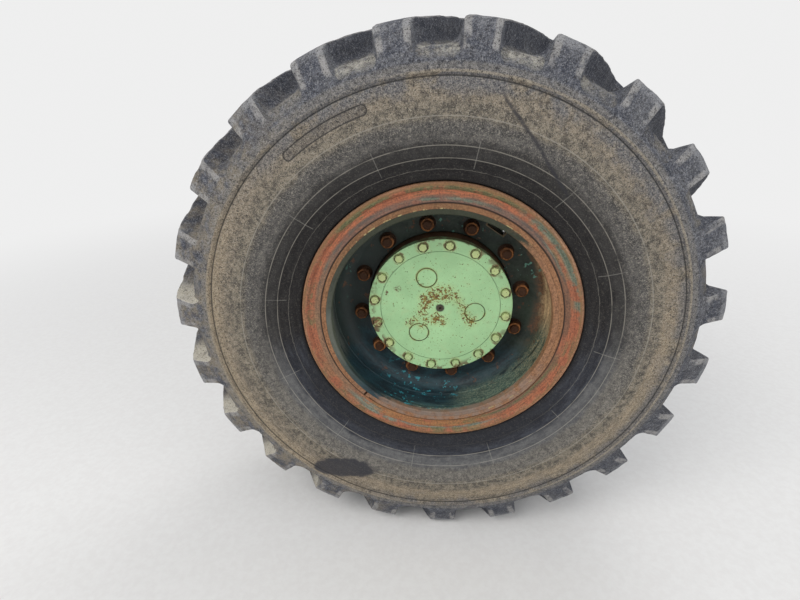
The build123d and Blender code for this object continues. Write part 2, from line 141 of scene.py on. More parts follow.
class Shader(Nodes):
    """A surface material. Tones are painted one over another on its colour. Masks go from 0 to 1."""

    def __init__(self, name):
        self.material = bpy.data.materials.new(name)
        self.material.use_nodes = True
        super().__init__(self.material.node_tree)
        self.surface = self.tree.nodes["Principled BSDF"]
        self.colour = None
        self.place = self.add("ShaderNodeTexCoord").outputs["Object"]
        self.parts = self.add("ShaderNodeSeparateXYZ", {0: self.place}).outputs
        self.radius = self.length(self.parts[0], self.parts[2])
        self.angle = self.math("ARCTAN2", self.parts[2], self.parts[0])
        self.out = self.minus(middle_y, self.parts[1])

    def noise(self, scale, detail=4, rough=0.55, place=None, warp=0.0):
        inputs = {"Vector": place or self.place, "Scale": scale, "Detail": detail, "Roughness": rough,
                  "Distortion": warp}
        return self.add("ShaderNodeTexNoise", inputs).outputs["Fac"]

    def cells(self, scale):
        """The distance to the nearest of scattered points."""
        return self.add("ShaderNodeTexVoronoi", {"Vector": self.place, "Scale": scale}).outputs["Distance"]

    def flow(self, along, across, axial, detail, rough, warp=0.0):
        """Noise that runs round the axle: slow along the ring, quick across it."""
        inverse = self.math("DIVIDE", along, self.math("MAXIMUM", self.radius, 0.001))
        depth = self.plus(self.times(self.radius, across), self.times(self.out, axial))
        inputs = {0: self.times(self.parts[0], inverse), 1: depth, 2: self.times(self.parts[2], inverse)}
        place = self.add("ShaderNodeCombineXYZ", inputs).outputs[0]
        return self.noise(1.0, detail, rough, place, warp)

    def sway(self, noise, reach):
        """A noise as a small shift to both sides."""
        return self.times(self.minus(noise, 0.5), reach)

    def blend(self, first, second, share):
        """Two noises in one, with this share of the first."""
        return self.plus(self.times(first, share), self.times(second, 1 - share))

    def step(self, value, low, high, start=0.0, end=1.0):
        """Rises smoothly from start to end while the value goes from low to high."""
        inputs = {"Value": value, "From Min": low, "From Max": high, "To Min": start, "To Max": end}
        return self.add("ShaderNodeMapRange", inputs, interpolation_type="SMOOTHSTEP").outputs[0]

    def patchy(self, low, high, scale, detail=4, rough=0.55):
        """Patches of a noise, which rise smoothly while it goes from low to high."""
        return self.step(self.noise(scale, detail, rough), low, high)

    def band(self, value, low, high, soft):
        """1 between low and high, with soft sides."""
        rising = self.step(value, low - soft, low + soft)
        return self.times(rising, self.step(value, high - soft, high + soft, 1, 0))

    def mix(self, mask, under, over):
        """One colour over another. Colours are three numbers or a socket."""
        return self.add("ShaderNodeMix", {0: mask, 6: under, 7: over}, data_type="RGBA").outputs[2]

    def lay(self, under, over, factor, *masks):
        """One colour over another, this strong where all the masks are 1."""
        return self.mix(self.strength(self.both(*masks), factor), under, over)

    def paint(self, tone, factor, *masks):
        """A tone over the material's colour so far."""
        self.colour = self.lay(self.colour, tone, factor, *masks)

    def toward(self, degrees):
        """1 on the side of the axle that this angle points to, 0 at a right angle to it, -1 opposite."""
        return self.math("COSINE", self.minus(self.angle, math.radians(degrees)))

    def arc(self, start, end, soft=7.0):
        """1 between two angles round the axle, in degrees."""
        turned = self.minus(self.angle, math.radians((start + end) / 2 - 360.0))
        away = self.math("ABSOLUTE", self.math("WRAP", turned, math.pi, -math.pi))
        half = math.radians(abs(end - start) / 2)
        return self.step(away, half - math.radians(soft), half + math.radians(soft), 1, 0)

    def near(self, x, z, reach, soft):
        """1 within reach of a place on the wheel's face, given in metres right and up of the axle."""
        distance = self.length(self.minus(self.parts[0], x), self.minus(self.parts[2], z))
        return self.step(distance, reach - soft, reach + soft, 1, 0)

    def repeated(self, count, first_degrees, circle):
        """The distance to the nearest of like places on a circle round the axle."""
        half = math.pi / count
        local = self.math("WRAP", self.minus(self.angle, math.radians(first_degrees)), half, -half)
        x = self.minus(self.times(self.radius, self.math("COSINE", local)), circle)
        return self.length(x, self.times(self.radius, self.math("SINE", local)))

    def attribute(self, name):
        return self.add("ShaderNodeAttribute", attribute_name=name).outputs["Fac"]

    def finish(self, rough, *heights, metal=0.0, specular=0.5):
        """Heights are (socket, metres) pairs that add up in the bump."""
        values = {"Base Color": self.colour, "Roughness": rough, "Metallic": metal,
                  "Specular IOR Level": specular}
        bump = {}
        for height, metres in heights:
            inputs = {"Height": height, "Distance": metres, "Strength": 1.0, **bump}
            bump = {"Normal": self.add("ShaderNodeBump", inputs).outputs[0]}
        for key, value in {**values, **bump}.items():
            self.feed(self.surface.inputs[key], value)
        return self.material


# Rubber: dusty lugs and sidewall, dark towards the rim

# The blank sunk panel: middle and half angle in degrees, middle radius and half height in millimetres
CARTOUCHE = (118.75, 11.25, 511.0, 11.0)
# The oil stain: its middle right and up of the axle, and its half sizes
STAIN = (-0.257, -0.43, 0.092, 0.035)
# The long scratch: radius, and angle in degrees, of its two ends
SCRATCH = ((0.523, 78.0), (0.407, 51.4))
# The short moulded lines: their number and the first one's angle in degrees
TICKS = (12, 20.5)


def tyre_material():
    s = Shader("tyre_rubber")
    r = s.radius
    broad = s.noise(5, 4, 0.6, warp=0.4)
    patches = s.noise(17, 5, 0.62, warp=0.5)
    mottle = s.noise(75, 5, 0.7)
    grains = s.noise(330, 3, 0.75)
    streak = s.flow(9, 90, 60, 5, 0.6)
    speck = s.step(grains, 0.44, 0.66)
    low = s.step(s.plus(s.toward(-90), s.sway(broad, 1.2)), -0.15, 0.5)
    left = s.step(s.plus(s.toward(190), s.sway(broad, 1.2)), 0.2, 0.85)

    # Lugs: blue-grey rubber with worn dark places, tan dust on the left and light dust in the grooves,
    # painted shade on the buttress faces and over the tread, and painted sunlight on the upward flanks at the
    # lower left
    s.colour = s.mix(s.step(mottle, 0.37, 0.63), (0.02, 0.025, 0.041), (0.108, 0.115, 0.14))
    s.paint((0.14, 0.142, 0.15), 0.55, s.step(patches, 0.42, 0.7))
    s.paint((0.045, 0.045, 0.052), 0.35, s.arc(-75, 12, 20))
    s.paint((0.16, 0.155, 0.145), 0.3, speck)
    s.paint((0.245, 0.205, 0.145), 0.75, left, s.patchy(0.35, 0.62, 40))
    worn = s.both(s.step(s.attribute("edge"), 0.55, 1.0), s.patchy(0.32, 0.54, 38))
    s.paint((0.32, 0.31, 0.3), 0.85, worn)
    tips = s.both(s.band(r, 0.632, 0.651, 0.005), s.step(s.out, 0.2, 0.214), s.step(patches, 0.4, 0.56))
    s.paint((0.28, 0.285, 0.3), 0.62, tips)
    # painted shade: dark blue over the lugs' buttress faces
    faces = s.both(s.band(r, 0.585, 0.632, 0.008), s.step(s.out, 0.195, 0.21), s.step(patches, 0.5, 0.4))
    s.paint((0.03, 0.037, 0.058), 0.5, faces)
    tip_shade = s.both(s.step(s.out, 0.2, 0.21, 1, 0), s.patchy(0.34, 0.6, 31, 5, 0.65))
    s.paint((0.026, 0.031, 0.05), 0.65, tip_shade)
    s.paint((0.2, 0.18, 0.145), 0.7, s.attribute("groove"), s.patchy(0.36, 0.62, 44, 5, 0.7))
    bright = s.both(s.attribute("groove"), s.arc(62, 120, 12), s.patchy(0.42, 0.62, 52, 5, 0.7),
                    s.step(s.out, 0.165, 0.195))
    s.paint((0.42, 0.4, 0.345), 0.8, bright)
    # painted sunlight: bright beige on the lugs' upward faces at the lower left
    upward = s.add("ShaderNodeSeparateXYZ", {0: s.add("ShaderNodeTexCoord").outputs["Normal"]}).outputs[2]
    painted_sunlit_flank = s.both(s.step(upward, 0.3, 0.6), s.arc(166, 244, 10), s.step(r, 0.574, 0.584),
                   s.step(s.out, 0.16, 0.195), s.patchy(0.24, 0.46, 30))
    s.paint((0.56, 0.52, 0.43), 0.85, painted_sunlit_flank)
    s.paint((0.22, 0.2, 0.17), 0.55, s.band(r, 0.556, 0.569, 0.004), s.step(mottle, 0.3, 0.55))
    lug = s.colour

    # Outer sidewall: tan dust with blue-grey rubber showing through, ochre on the left and below
    s.colour = s.mix(s.step(mottle, 0.35, 0.64), (0.088, 0.073, 0.055), (0.3, 0.25, 0.186))
    s.paint((0.3, 0.245, 0.175), 0.6, s.step(patches, 0.5, 0.68))
    bare = s.step(s.plus(patches, s.times(s.minus(r, 0.51), 3.0)), 0.5, 0.66)
    s.paint((0.095, 0.1, 0.118), 0.7, bare, s.inverse(left))
    ochre = s.either(s.both(s.arc(150, 240, 22), s.step(r, 0.505, 0.535)),
                     s.strength(s.both(s.arc(240, 375, 22), s.band(r, 0.492, 0.528, 0.01)), 0.8))
    s.paint((0.37, 0.29, 0.19), 0.7, ochre)
    cool = s.both(s.arc(25, 138, 18), s.step(r, 0.515, 0.53), s.step(patches, 0.36, 0.52))
    s.paint((0.118, 0.122, 0.138), 0.72, cool)
    s.paint((0.27, 0.25, 0.215), 0.3, speck)
    brushed = s.step(s.flow(14, 210, 0, 5, 0.65), 0.46, 0.6)
    brushed = s.both(brushed, s.either(s.arc(170, 350, 25), s.strength(s.arc(-20, 180), 0.4)))
    s.paint((0.11, 0.096, 0.078), 0.5, brushed)
    dark_specks = s.patchy(0.57, 0.68, 240, 3, 0.7)
    s.paint((0.03, 0.028, 0.028), 0.65, dark_specks)
    side = s.colour

    # From the shoulder in to the rim, darker and darker, and less so in the lower half
    def zone(mask, dark, low_dark, light, low_light):
        return s.mix(mask, s.mix(low, dark, low_dark), s.mix(low, light, low_light))

    shoulder = s.mix(s.step(mottle, 0.34, 0.66), (0.072, 0.064, 0.052), (0.255, 0.22, 0.168))
    shoulder = s.lay(shoulder, (0.035, 0.034, 0.034), 0.5, dark_specks)
    middle = zone(s.step(mottle, 0.3, 0.72), (0.045, 0.043, 0.042), (0.078, 0.074, 0.068),
                  (0.115, 0.11, 0.104), (0.2, 0.186, 0.164))
    middle = s.lay(middle, (0.17, 0.16, 0.143), 0.4, s.step(streak, 0.45, 0.66))
    dim = zone(s.step(s.blend(mottle, streak, 0.5), 0.36, 0.64), (0.019, 0.018, 0.018), (0.064, 0.066, 0.072),
               (0.042, 0.04, 0.039), (0.135, 0.135, 0.135))
    inner = zone(s.step(streak, 0.35, 0.7), (0.009, 0.008, 0.009), (0.016, 0.018, 0.026),
                 (0.02, 0.019, 0.019), (0.042, 0.047, 0.06))

    near_rim = s.plus(r, s.sway(patches, 0.03))
    zones = ((near_rim, 0.388, 0.4, dim), (near_rim, 0.417, 0.436, middle),
             (near_rim, 0.458, 0.476, shoulder), (near_rim, 0.488, 0.506, side), (r, 0.553, 0.558, lug))
    s.colour = inner
    for place, low_edge, high_edge, tone in zones:
        s.colour = s.mix(s.step(place, low_edge, high_edge), s.colour, tone)

    # Moulded lines: the ridge, the thin rings and the short ticks between two of them
    ridge = s.band(r, 0.5503, 0.5555, 0.0012)
    ridge_dust = s.either(s.strength(s.patchy(0.35, 0.6, 45), 0.3), s.strength(s.arc(165, 262, 12), 0.8),
                          s.both(s.arc(-65, 98, 12), s.patchy(0.2, 0.45, 45)))
    s.paint((0.29, 0.25, 0.19), 0.68, ridge, ridge_dust)
    gutter = s.band(r, 0.5428, 0.5455, 0.0008)
    s.paint((0.02, 0.02, 0.021), 0.85, gutter)
    rings = s.either(s.band(r, 0.4163, 0.4182, 0.0006), s.band(r, 0.3902, 0.3919, 0.0005),
                     s.band(r, 0.4722, 0.4745, 0.0007),
                     s.strength(s.band(s.plus(r, s.times(mottle, 0.006)), 0.3696, 0.3708, 0.0005), 0.6))
    s.paint((0.31, 0.29, 0.25), 0.6, rings, s.patchy(0.24, 0.5, 25))
    panel = cartouche_edge(s)
    outer_face = s.step(s.out, 0.0, 0.05)
    inside = s.both(s.step(panel, 0.0005, -0.001), s.step(mottle, 0.35, 0.55), outer_face)
    s.paint((0.075, 0.072, 0.074), 0.55, inside)
    outline = s.both(s.band(panel, -0.0024, 0.0004, 0.0006), outer_face)
    s.paint((0.022, 0.021, 0.022), 0.85, outline)
    count, first = TICKS
    tick_angle = s.math("WRAP", s.minus(s.angle, math.radians(first)), math.pi / count, -math.pi / count)
    tick = s.both(s.band(s.times(s.math("ABSOLUTE", tick_angle), r), -0.001, 0.0009, 0.0004),
                  s.band(r, 0.372, 0.471, 0.001), s.patchy(0.3, 0.5, 30))
    s.paint((0.27, 0.26, 0.235), 0.45, tick, s.step(r, 0.435, 0.425))
    s.paint((0.04, 0.04, 0.042), 0.5, tick, s.step(r, 0.425, 0.435))

    # The oil stain and the long scratch
    x, z, half_width, half_height = STAIN
    oval = s.length(s.math("DIVIDE", s.plus(s.parts[0], -x), half_width),
                    s.math("DIVIDE", s.plus(s.parts[2], -z), half_height))
    oval = s.plus(oval, s.sway(s.noise(34), 0.8))
    stain = s.both(s.step(oval, 0.85, 1.08, 1, 0), outer_face, s.step(r, 0.5525, 0.549))
    s.paint((0.024, 0.025, 0.033), 0.92, stain)
    scratched = s.both(scratch(s), outer_face)
    s.paint((0.028, 0.028, 0.034), 0.85, scratched)

    s.paint((0.01, 0.01, 0.011), 0.8, s.step(r, flange_radius + 0.003, flange_radius + 0.016, 1, 0))
    s.paint((0.011, 0.012, 0.016), 0.78, s.arc(200, 325, 15), s.step(r, 0.386, 0.366))

    # Grit all over: pale dust grains and dark pits
    grit = s.noise(430, 3, 0.8)
    clear = s.inverse(s.strength(s.either(stain, scratched, gutter, rings, outline), 0.8))
    clear = s.both(clear, s.inverse(s.strength(s.arc(185, 340, 25), 0.3)))
    grit_zone = s.both(s.step(r, 0.4, 0.47, 0.35, 1.0), clear)
    pits = s.both(s.step(grit, 0.49, 0.38), grit_zone)
    s.paint((0.028, 0.026, 0.027), 0.78, pits)
    pale_zone = s.both(s.step(r, 0.4, 0.47, 0.16, 1.0), clear)
    pale = s.both(s.step(grit, 0.53, 0.64), pale_zone)
    grain = s.mix(s.step(r, 0.552, 0.566), (0.37, 0.335, 0.28), (0.29, 0.29, 0.3))
    s.paint(grain, 0.62, pale)
    flecks = s.noise(185, 4, 0.7)
    s.paint((0.024, 0.023, 0.026), 0.78, s.step(flecks, 0.43, 0.37), grit_zone)
    s.paint(grain, 0.52, s.step(flecks, 0.57, 0.64), pale_zone)
    rough = s.step(mottle, 0.2, 0.8, 0.72, 0.95)
    rough = s.minus(rough, s.strength(stain, 0.2))
    return s.finish(rough, (mottle, 0.0012), (grains, 0.0006), (patches, 0.001), (grit, 0.0006), specular=0.3)


def cartouche_edge(s):
    """How far a place lies outside the blank sunk panel's edge, in metres, and negative inside it."""
    angle, half_angle, radius, half_height = CARTOUCHE
    straight = half_angle * math.pi / 180 * radius - half_height
    turned = s.math("ABSOLUTE", s.minus(s.angle, math.radians(angle)))
    along = s.math("MAXIMUM", s.minus(s.times(turned, radius * MM), straight * MM), 0.0)
    across = s.minus(s.radius, radius * MM)
    distance = s.length(along, across)
    return s.minus(distance, half_height * MM)


def scratch(s):
    """A dark diagonal scratch over the outer sidewall."""
    start, end = [radius * Vector((math.cos(math.radians(angle)), math.sin(math.radians(angle))))
                  for radius, angle in SCRATCH]
    way = (end - start).normalized()
    dx = s.minus(s.parts[0], start.x)
    dz = s.minus(s.parts[2], start.y)
    along = s.plus(s.times(dx, way.x), s.times(dz, way.y))
    across = s.minus(s.times(dx, way.y), s.times(dz, way.x))
    across = s.plus(across, s.sway(s.noise(9), 0.012))
    line = s.band(s.math("ABSOLUTE", across), -0.01, 0.0034, 0.0022)
    return s.both(line, s.band(along, 0.0, (end - start).length, 0.012), s.patchy(0.2, 0.5, 60))


# Paint, rust and steel

def ring_material():
    """Worn coral primer, olive and teal paint left on parts of it, a grey strip inside and a rusty lip."""
    s = Shader("ring_paint")
    flow = s.flow(2.4, 70, 40, 5, 0.62, 0.2)
    flow_fine = s.flow(9, 300, 150, 6, 0.7)
    blot = s.noise(30, 5, 0.65, warp=0.3)
    fine = s.noise(210, 5, 0.72)
    r = s.plus(s.radius, s.sway(flow, 0.014))
    grain = s.step(s.blend(fine, flow_fine, 0.6), 0.36, 0.62)
    coral = s.mix(grain, (0.17, 0.056, 0.031), (0.4, 0.14, 0.07))
    bright = s.mix(grain, (0.25, 0.075, 0.035), (0.49, 0.148, 0.07))
    tan = s.mix(grain, (0.11, 0.062, 0.032), (0.33, 0.18, 0.095))
    olive = s.mix(grain, (0.05, 0.058, 0.024), (0.17, 0.175, 0.08))
    teal = s.mix(grain, (0.06, 0.105, 0.078), (0.17, 0.235, 0.175))
    violet = s.mix(grain, (0.085, 0.055, 0.045), (0.225, 0.135, 0.1))
    s.colour = s.lay(coral, tan, 0.75, s.step(blot, 0.42, 0.6))

    streak = s.both(s.band(r, 0.309, 0.3225, 0.002), s.step(flow_fine, 0.38, 0.54))
    red_arcs = s.either(s.arc(58, 160), s.strength(s.arc(290, 366), 0.8))
    s.paint(bright, 0.78, streak, red_arcs, s.step(blot, 0.36, 0.52))
    outer = s.step(r, 0.3185, 0.322)
    torn = s.step(s.blend(blot, flow, 0.6), 0.4, 0.52)
    s.paint(olive, 0.85, outer, s.either(s.arc(58, 138), s.strength(s.arc(262, 290), 0.8)), torn)
    s.paint(teal, 0.85, s.step(r, 0.312, 0.319), s.arc(4, 56), s.step(blot, 0.38, 0.52))
    orange = s.mix(grain, (0.16, 0.075, 0.03), (0.42, 0.2, 0.075))
    s.paint(orange, 0.75, s.step(r, 0.3155, 0.3125), s.arc(232, 294, 8), s.step(blot, 0.32, 0.46))
    low_teal = s.either(s.both(s.band(r, 0.3155, 0.3215, 0.001), s.arc(229, 296, 6)),
                        s.both(s.band(r, 0.302, 0.316, 0.002), s.arc(222, 240)))
    s.paint(s.mix(grain, (0.08, 0.12, 0.095), (0.2, 0.25, 0.2)), 0.85, low_teal, torn)
    s.paint(olive, 0.6, s.step(flow, 0.54, 0.62), s.step(blot, 0.48, 0.58))
    s.paint((0.09, 0.075, 0.06), 0.5, s.arc(40, 165, 22), s.step(r, 0.313, 0.307), s.patchy(0.28, 0.56, 40))
    inner_strip = s.both(s.step(r, 0.3045, 0.3095, 1, 0), s.patchy(0.28, 0.5, 8),
                         s.inverse(s.arc(226, 298, 8)))
    inner_tone = s.mix(s.arc(-50, 35, 15), violet, s.mix(grain, (0.08, 0.045, 0.028), (0.2, 0.105, 0.062)))
    inner_tone = s.mix(s.arc(150, 235, 15), inner_tone, s.mix(grain, (0.11, 0.065, 0.04), (0.3, 0.18, 0.105)))
    s.paint(inner_tone, 0.85, inner_strip)
    grey_arc = s.both(s.band(r, 0.2995, 0.306, 0.0015), s.arc(20, 165, 15), s.step(blot, 0.38, 0.52))
    s.paint(s.mix(s.step(flow, 0.46, 0.6), (0.08, 0.068, 0.06), teal), 0.65, grey_arc)
    s.paint(olive, 0.75, s.band(r, 0.2975, 0.3035, 0.001), s.arc(290, 338, 8), s.step(blot, 0.34, 0.46))
    lip_width = s.strength(s.arc(-60, 60, 20), 0.0028)
    lip_place = s.plus(s.plus(s.radius, s.times(fine, 0.004)), lip_width)
    lip = s.step(lip_place, 0.3305, 0.334)
    # the lip's rust, darker over the upper arc by painted shade
    lip_tone = s.mix(s.arc(50, 165, 20), (0.44, 0.225, 0.125), (0.31, 0.165, 0.09))
    lip_tone = s.mix(grain, (0.17, 0.085, 0.045), lip_tone)
    lip_foot = s.both(s.step(lip_place, 0.3378, 0.3358), s.step(flow, 0.36, 0.5))
    lip_tone = s.lay(lip_tone, (0.19, 0.1, 0.036), 0.75, lip_foot)
    s.paint(lip_tone, 0.85, lip)
    seam = s.step(s.radius, 0.2935, 0.2962, 1, 0)
    s.paint(s.mix(s.arc(225, 335, 12), (0.03, 0.02, 0.017), (0.13, 0.055, 0.02)), 0.9, seam)
    s.paint((0.05, 0.03, 0.024), 0.55, s.patchy(0.56, 0.66, 330, 3, 0.7))
    rough = s.step(fine, 0.2, 0.8, 0.6, 0.88)
    return s.finish(rough, (fine, 0.0008), (blot, 0.0008), (flow_fine, 0.0005), specular=0.4)


def lip_colour(s, shade):
    """Speckled tan and brown rust, as on the lock ring and the base's lip, with painted shade over the upper
    arc as strong as the shade given.
    """
    flow = s.flow(8, 230, 160, 6, 0.7)
    fine = s.noise(230, 5, 0.75)
    broad = s.noise(14, 4, 0.6)
    grain = s.step(s.blend(fine, flow, 0.65), 0.36, 0.63)
    s.colour = s.mix(grain, (0.12, 0.052, 0.024), (0.355, 0.18, 0.09))
    s.paint((0.3, 0.13, 0.062), 0.5, s.step(broad, 0.48, 0.66))
    s.paint((0.24, 0.185, 0.15), 0.65, s.arc(228, 330, 18), s.patchy(0.34, 0.6, 50))
    return s.lay(s.colour, (0.078, 0.052, 0.023), shade, s.arc(55, 165, 30))


def lock_ring_material():
    s = Shader("ring_rust")
    fine = s.noise(230, 5, 0.75)
    # rust with light painted shade over the upper arc
    s.colour = lip_colour(s, 0.3)
    seam = s.either(s.step(s.radius, 0.2897, 0.2915), s.step(s.radius, 0.2803, 0.279))
    s.paint(s.mix(s.arc(225, 335, 12), (0.045, 0.024, 0.017), (0.15, 0.065, 0.026)), 0.7, seam)
    chips = s.both(s.step(s.radius, 0.2822, 0.2808), s.patchy(0.53, 0.6, 80),
                   s.either(s.arc(50, 145, 12), s.arc(285, 330, 12)))
    s.paint((0.4, 0.34, 0.16), 0.8, chips)
    return s.finish(s.step(fine, 0.2, 0.8, 0.68, 0.92), (fine, 0.0009), specular=0.35)


def bowl_paint(s):
    """Old paint inside the rim: black green above, blue at the left, bare tan at the right, teal below."""
    patches = s.noise(17, 5, 0.65, warp=0.7)
    fine = s.noise(150, 5, 0.72)
    broad = s.noise(7, 3, 0.6)
    flow = s.flow(5, 60, 60, 6, 0.68, 0.4)
    grain = s.step(fine, 0.35, 0.65)
    ragged = s.times(s.minus(s.plus(patches, broad), 1.0), 0.8)

    def facing(degrees, low, high):
        return s.step(s.plus(s.toward(degrees), ragged), low, high)

    s.colour = s.mix(s.step(patches, 0.3, 0.7), (0.008, 0.015, 0.01), (0.024, 0.04, 0.026))
    blue = s.mix(grain, (0.009, 0.017, 0.016), (0.025, 0.038, 0.036))
    s.paint(blue, 0.8, facing(192, 0.1, 0.8))
    navy = s.mix(s.step(flow, 0.35, 0.65), (0.004, 0.013, 0.02), (0.012, 0.046, 0.06))
    s.paint(navy, 0.9, facing(262, 0.3, 0.75))

    outer = s.step(s.plus(s.radius, s.times(patches, 0.012)), 0.246, 0.274)
    sandy = s.mix(s.arc(-36, 0, 14), (0.22, 0.26, 0.18), (0.37, 0.31, 0.18))
    speckled = s.mix(s.patchy(0.4, 0.62, 210, 4, 0.75), (0.055, 0.105, 0.085), sandy)
    s.paint(speckled, 0.85, s.arc(-78, -6, 10), s.step(s.out, 0.075, 0.12), s.step(flow, 0.3, 0.52))
    ochre = s.mix(s.step(s.blend(fine, flow, 0.5), 0.38, 0.62), (0.24, 0.145, 0.07), (0.66, 0.47, 0.26))
    right = s.both(s.arc(-10, 33, 9), s.step(s.out, 0.07, 0.088), s.step(broad, 0.25, 0.45))
    s.paint(ochre, 0.9, right)
    brown = s.mix(grain, (0.035, 0.016, 0.008), (0.15, 0.06, 0.025))
    s.paint(brown, 0.85, outer, s.arc(-22, 44, 12), s.step(s.out, 0.094, 0.08), s.step(patches, 0.42, 0.56))
    grey = s.both(s.arc(174, 206, 7), s.step(s.out, 0.1, 0.14), s.step(flow, 0.3, 0.52))
    s.paint((0.145, 0.155, 0.132), 0.62, grey)

    bottom = s.both(s.arc(248, 288, 10), s.step(s.out, 0.135, 0.175))
    s.paint((0.08, 0.15, 0.14), 0.6, bottom, s.step(flow, 0.36, 0.56))
    mint = s.both(s.patchy(0.54, 0.6, 95, 5, 0.72), s.step(s.out, 0.15, 0.18), s.arc(256, 322, 8))
    s.paint((0.3, 0.42, 0.3), 0.8, mint)

    chips = s.patchy(0.63, 0.66, 62, 3, 0.55)
    chip_zone = s.either(s.strength(s.arc(60, 122), 0.9), s.arc(8, 42), s.strength(s.arc(150, 200), 0.6))
    chip_zone = s.both(chip_zone, s.step(broad, 0.44, 0.52), s.step(s.out, 0.1, 0.08))
    s.paint((0.1, 0.26, 0.2), 0.9, chips, chip_zone)
    low_chips = s.both(s.patchy(0.59, 0.63, 70, 4, 0.6), s.arc(-124, -78, 6), s.step(broad, 0.42, 0.5))
    s.paint((0.035, 0.27, 0.32), 0.85, low_chips)
    return s.lay(s.colour, brown, 0.75, s.patchy(0.62, 0.66, 45, 4, 0.65), s.step(s.out, 0.12, 0.09))


def base_material():
    """The rim base: a rusty lip, and the bowl's paint on its barrel."""
    s = Shader("rim_base_paint")
    blot = s.noise(21, 5, 0.65, warp=0.5)
    flow = s.flow(5, 40, 70, 5, 0.65, 0.4)
    fine = s.noise(170, 5, 0.72)
    edge_place = s.plus(s.out, s.sway(flow, 0.024))
    top = s.arc(48, 165, 16)
    ragged = s.times(s.minus(s.plus(blot, flow), 1.0), 1.1)
    bare = s.step(s.plus(s.arc(48, 238, 34), ragged), 0.68, 0.32)
    right_reach = s.strength(s.arc(-60, 30, 30), 0.012)
    front = s.both(s.step(s.plus(edge_place, right_reach), 0.186, 0.197), bare)
    paint = bowl_paint(s)
    near_lip = s.step(edge_place, 0.16, 0.19)
    paint = s.lay(paint, (0.034, 0.031, 0.011), 0.5, top, near_lip)
    paint = s.lay(paint, (0.085, 0.088, 0.062), 0.6, s.arc(158, 218, 16), near_lip, s.step(flow, 0.36, 0.58))
    # the lip's rust with strong painted shade over its upper arc
    lip = lip_colour(s, 0.88)
    lip = s.lay(lip, (0.12, 0.11, 0.1), 0.4, s.arc(236, 300, 16))
    s.colour = s.mix(front, paint, lip)
    behind = s.step(s.out, 0.0, -0.04)
    s.paint(s.mix(s.step(blot, 0.3, 0.7), (0.04, 0.042, 0.038), (0.14, 0.12, 0.095)), 0.8, behind)
    rough = s.step(fine, 0.2, 0.8, 0.5, 0.85)
    return s.finish(rough, (fine, 0.0007), (blot, 0.0008), specular=0.45)


def disc_material():
    """The bowl's paint on the disc, with rust round the nuts and on the edges of its window."""
    s = Shader("disc_paint")
    blot = s.noise(18, 5, 0.65, warp=0.6)
    fine = s.noise(150, 5, 0.7)
    s.colour = bowl_paint(s)
    nut = s.repeated(*NUTS)
    halo = s.step(s.plus(nut, s.times(s.noise(70), 0.016)), 0.033, 0.025)
    halo = s.both(halo, s.patchy(0.36, 0.6, 30))
    s.paint((0.05, 0.02, 0.01), 0.6, halo)
    angle, circle, half_height, half_width = WINDOW
    outward = s.minus(s.times(s.radius, s.toward(angle)), circle)
    sideways = s.times(s.radius, s.toward(angle - 90.0))
    round_window = s.either(s.minus(s.math("ABSOLUTE", outward), half_height),
                            s.minus(s.math("ABSOLUTE", sideways), half_width))
    s.paint((0.2, 0.13, 0.06), 0.85, s.step(round_window, 0.0032, 0.0012), s.step(blot, 0.36, 0.55))
    rough = s.step(fine, 0.2, 0.8, 0.42, 0.8)
    return s.finish(rough, (fine, 0.0005), (blot, 0.0007))


def drum_material():
    s = Shader("drum_paint")
    fine = s.noise(120, 5, 0.7)
    blot = s.noise(22, 5, 0.65)
    front = s.step(s.out, 0.045, 0.06)
    paint = s.mix(s.step(blot, 0.3, 0.7), (0.02, 0.032, 0.03), (0.06, 0.07, 0.06))
    brown = s.mix(s.step(blot, 0.3, 0.6), (0.05, 0.026, 0.015), (0.19, 0.085, 0.035))
    s.colour = s.lay(paint, brown, 0.85, front)
    s.paint((0.2, 0.14, 0.09), 0.4, s.step(fine, 0.55, 0.75))
    return s.finish(s.step(fine, 0.2, 0.8, 0.55, 0.9), (fine, 0.0008), (blot, 0.001))


def nut_material():
    """Dark rust, orange on the nut's top edge, black in the stud's end and on the collar."""
    s = Shader("rusty_steel")
    fine = s.noise(260, 6, 0.72)
    s.colour = s.mix(s.step(fine, 0.3, 0.7), (0.04, 0.017, 0.008), (0.15, 0.06, 0.024))
    nut = s.repeated(*NUTS)
    ring = s.both(s.band(nut, 0.0125, 0.0165, 0.0012), s.step(s.out, 0.08, 0.085), s.patchy(0.36, 0.58, 44))
    fresh = s.step(s.noise(7.5, 1), 0.4, 0.58, 0.45, 1.0)
    s.paint((0.5, 0.2, 0.065), 0.9, ring, fresh, s.step(fine, 0.3, 0.55))
    stud = s.both(s.step(nut, 0.0108, 0.0092), s.step(fine, 0.35, 0.6))
    s.paint((0.012, 0.007, 0.005), 0.7, stud)
    collar = s.step(s.out, 0.076, 0.073)
    s.paint((0.02, 0.011, 0.007), 0.75, collar)
    return s.finish(s.step(fine, 0.2, 0.8, 0.7, 0.95), (fine, 0.0009), specular=0.3)


def speck_zone(s):
    """Where the cover's rust specks gather: an arch over the middle plug, down to both sides of it.
    Spots are places right and up of the axle and their reach, in millimetres."""
    spots = ((-40, 26, 12), (-22, 36, 14), (0, 50, 13), (20, 48, 13), (34, 34, 11), (46, 18, 10), (56, 0, 8),
             (66, -20, 10), (80, -38, 14), (-40, 4, 11), (-46, -18, 11), (-60, -37, 12), (-78, -46, 8),
             (-34, -34, 12), (-12, -34, 14), (10, -36, 11), (-8, -12, 8), (-48, -52, 9), (-8, 32, 11),
             (14, 30, 11), (-30, 18, 10))
    zone = s.either(*[s.near(x * MM, z * MM, reach * MM, 0.016) for x, z, reach in spots])
    return s.times(zone, s.step(s.noise(36, 3), 0.34, 0.6, 0.6, 1.05))


